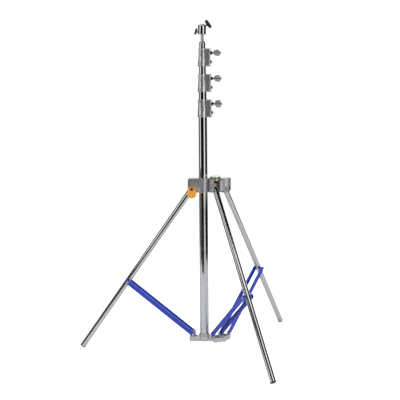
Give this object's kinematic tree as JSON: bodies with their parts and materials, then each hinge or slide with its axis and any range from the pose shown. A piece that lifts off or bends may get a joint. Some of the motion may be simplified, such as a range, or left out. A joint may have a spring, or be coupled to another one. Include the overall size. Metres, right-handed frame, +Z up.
{
  "type": "studio stand",
  "caption": "Tall chrome studio stand: telescoping column with clamping collars, sliding leg casting, folding legs with blue braces, and a small clamping head.",
  "frame": {"origin": "on the floor, in the middle of the footprint of the three feet", "axes": "+Z up along the column; the front, as pictured, is seen looking along +Y, with the clamping knobs towards +X"},
  "size_m": [1.2003, 1.1714, 1.8319],
  "materials": {
    "chrome_tube": "bright chrome-plated steel tube",
    "cast_metal": "satin die-cast alloy",
    "cast_knob": "tumbled die-cast alloy",
    "steel_hardware": "zinc-plated steel",
    "satin_steel": "satin turned steel",
    "dark_metal": "glossy black",
    "blue_paint": "blue powder coat",
    "orange_plastic": "moulded orange plastic",
    "black_plastic": "moulded black plastic",
    "rubber": "matt black rubber",
    "level_glass": "clear cup with pale green fluid"
  },
  "bodies": {
    "base": {"base_tube": "chrome_tube", "base_plug": "black_plastic", "lower_casting": "cast_metal", "casting_bolt": "steel_hardware", "lower_pivot_bolts": "steel_hardware", "base_collar": "cast_metal", "base_bush": "black_plastic", "base_collar_bolt": "steel_hardware"},
    "base_knob": {"base_knob_screw": "steel_hardware", "base_knob_handle": "cast_knob"},
    "riser_1": {"riser_1_tube": "chrome_tube", "riser_1_guide": "black_plastic", "riser_1_collar": "cast_metal", "riser_1_bush": "black_plastic", "riser_1_collar_bolt": "steel_hardware"},
    "riser_1_knob": {"riser_1_knob_screw": "steel_hardware", "riser_1_knob_handle": "cast_knob"},
    "riser_2": {"riser_2_tube": "chrome_tube", "riser_2_guide": "black_plastic", "riser_2_collar": "cast_metal", "riser_2_bush": "black_plastic", "riser_2_collar_bolt": "steel_hardware"},
    "riser_2_knob": {"riser_2_knob_screw": "steel_hardware", "riser_2_knob_handle": "cast_knob"},
    "riser_3": {"riser_3_tube": "chrome_tube", "riser_3_guide": "black_plastic", "riser_3_cap": "chrome_tube", "spigot": "satin_steel"},
    "leg_casting": {"leg_casting": "cast_metal", "casting_bush": "orange_plastic", "level_base": "black_plastic", "level_glass": "level_glass", "leg_pivot_bolts": "steel_hardware"},
    "casting_knob": {"casting_knob_screw": "steel_hardware", "casting_knob_handle": "cast_knob"},
    "tag": {"orange_tag": "orange_plastic"},
    "head": {"head_body": "chrome_tube"},
    "head_knob": {"head_screw": "steel_hardware", "head_handle": "dark_metal"},
    "head_wing": {"head_wing_screw": "dark_metal"},
    "leg_left": {"leg_left_tube": "chrome_tube", "leg_left_plug": "orange_plastic", "leg_left_foot": "rubber", "leg_left_sleeve": "steel_hardware"},
    "brace_left": {"brace_left_bars": "blue_paint", "brace_left_bolts": "steel_hardware"},
    "leg_front": {"leg_front_tube": "chrome_tube", "leg_front_plug": "orange_plastic", "leg_front_foot": "rubber", "leg_front_sleeve": "steel_hardware"},
    "brace_front": {"brace_front_bars": "blue_paint", "brace_front_bolts": "steel_hardware"},
    "leg_rear": {"leg_rear_tube": "chrome_tube", "leg_rear_plug": "orange_plastic", "leg_rear_foot": "rubber", "leg_rear_sleeve": "steel_hardware"},
    "brace_rear": {"brace_rear_bars": "blue_paint", "brace_rear_bolts": "steel_hardware"}
  },
  "joints": [
    {"name": "casting_slide", "type": "slide", "parent": "base", "child": "leg_casting", "axis": [0, 0, 1], "range_m": [0, 0.2906]},
    {"name": "leg_left_fold", "type": "hinge", "parent": "leg_casting", "child": "leg_left", "pos_m": [0.04581, 0.02769, 0.91642], "axis": [-0.0698, -0.9976, 0], "range_deg": [0, 35]},
    {"name": "leg_front_fold", "type": "hinge", "parent": "leg_casting", "child": "leg_front", "pos_m": [0.17381, -0.00031, 0.91642], "axis": [0.8988, 0.4384, 0], "range_deg": [0, 35]},
    {"name": "leg_rear_fold", "type": "hinge", "parent": "leg_casting", "child": "leg_rear", "pos_m": [0.22681, 0.04369, 0.91642], "axis": [-0.829, 0.5592, 0], "range_deg": [0, 35]},
    {"name": "brace_left_fold", "type": "hinge", "parent": "base", "child": "brace_left", "pos_m": [0.04581, 0.02769, 0.092], "axis": [0.0698, 0.9976, 0], "range_deg": [0, 50.85]},
    {"name": "brace_front_fold", "type": "hinge", "parent": "base", "child": "brace_front", "pos_m": [0.17381, -0.00031, 0.092], "axis": [-0.8988, -0.4384, 0], "range_deg": [0, 50.85]},
    {"name": "brace_rear_fold", "type": "hinge", "parent": "base", "child": "brace_rear", "pos_m": [0.22681, 0.04369, 0.092], "axis": [0.829, -0.5592, 0], "range_deg": [0, 50.85]},
    {"name": "riser_1_slide", "type": "slide", "parent": "base", "child": "riser_1", "axis": [0, 0, 1], "range_m": [0, 1.157]},
    {"name": "riser_2_slide", "type": "slide", "parent": "riser_1", "child": "riser_2", "axis": [0, 0, 1], "range_m": [0, 1.29]},
    {"name": "riser_3_slide", "type": "slide", "parent": "riser_2", "child": "riser_3", "axis": [0, 0, 1], "range_m": [0, 1.422]},
    {"name": "base_knob_turn", "type": "hinge", "parent": "base", "child": "base_knob", "pos_m": [0.16689, 0.01927, 1.382], "axis": [0.9848, -0.1736, 0], "range_deg": [0, 540]},
    {"name": "riser_1_knob_turn", "type": "hinge", "parent": "riser_1", "child": "riser_1_knob", "pos_m": [0.16689, 0.01927, 1.519], "axis": [0.9848, -0.1736, 0], "range_deg": [0, 540]},
    {"name": "riser_2_knob_turn", "type": "hinge", "parent": "riser_2", "child": "riser_2_knob", "pos_m": [0.16689, 0.01927, 1.656], "axis": [0.9848, -0.1736, 0], "range_deg": [0, 540]},
    {"name": "casting_knob_turn", "type": "hinge", "parent": "leg_casting", "child": "casting_knob", "pos_m": [0.10781, 0.08969, 0.93142], "axis": [0, 1, 0], "range_deg": [0, 540]},
    {"name": "tag_swing", "type": "hinge", "parent": "leg_casting", "child": "tag", "pos_m": [0.04581, 0.02769, 0.91642], "axis": [-0.0698, -0.9976, 0], "range_deg": [-45, 45]},
    {"name": "head_turn", "type": "hinge", "parent": "riser_3", "child": "head", "pos_m": [0.10781, 0.02969, 1.753], "axis": [0, 0, 1], "continuous": true},
    {"name": "head_handle_turn", "type": "hinge", "parent": "head", "child": "head_knob", "pos_m": [0.14081, 0.02969, 1.81], "axis": [0.809, 0, 0.5878], "range_deg": [0, 540]},
    {"name": "head_wing_turn", "type": "hinge", "parent": "head", "child": "head_wing", "pos_m": [0.07381, 0.02969, 1.7705], "axis": [-0.9613, 0, 0.2756], "range_deg": [0, 540]}
  ],
  "couplings": [
    {"joint": "leg_left_fold", "follows": "casting_slide", "rad_per_m": 2.1009},
    {"joint": "leg_front_fold", "follows": "casting_slide", "rad_per_m": 2.1009},
    {"joint": "leg_rear_fold", "follows": "casting_slide", "rad_per_m": 2.1009},
    {"joint": "brace_left_fold", "follows": "casting_slide", "rad_per_m": 3.0527},
    {"joint": "brace_front_fold", "follows": "casting_slide", "rad_per_m": 3.0527},
    {"joint": "brace_rear_fold", "follows": "casting_slide", "rad_per_m": 3.0527}
  ]
}
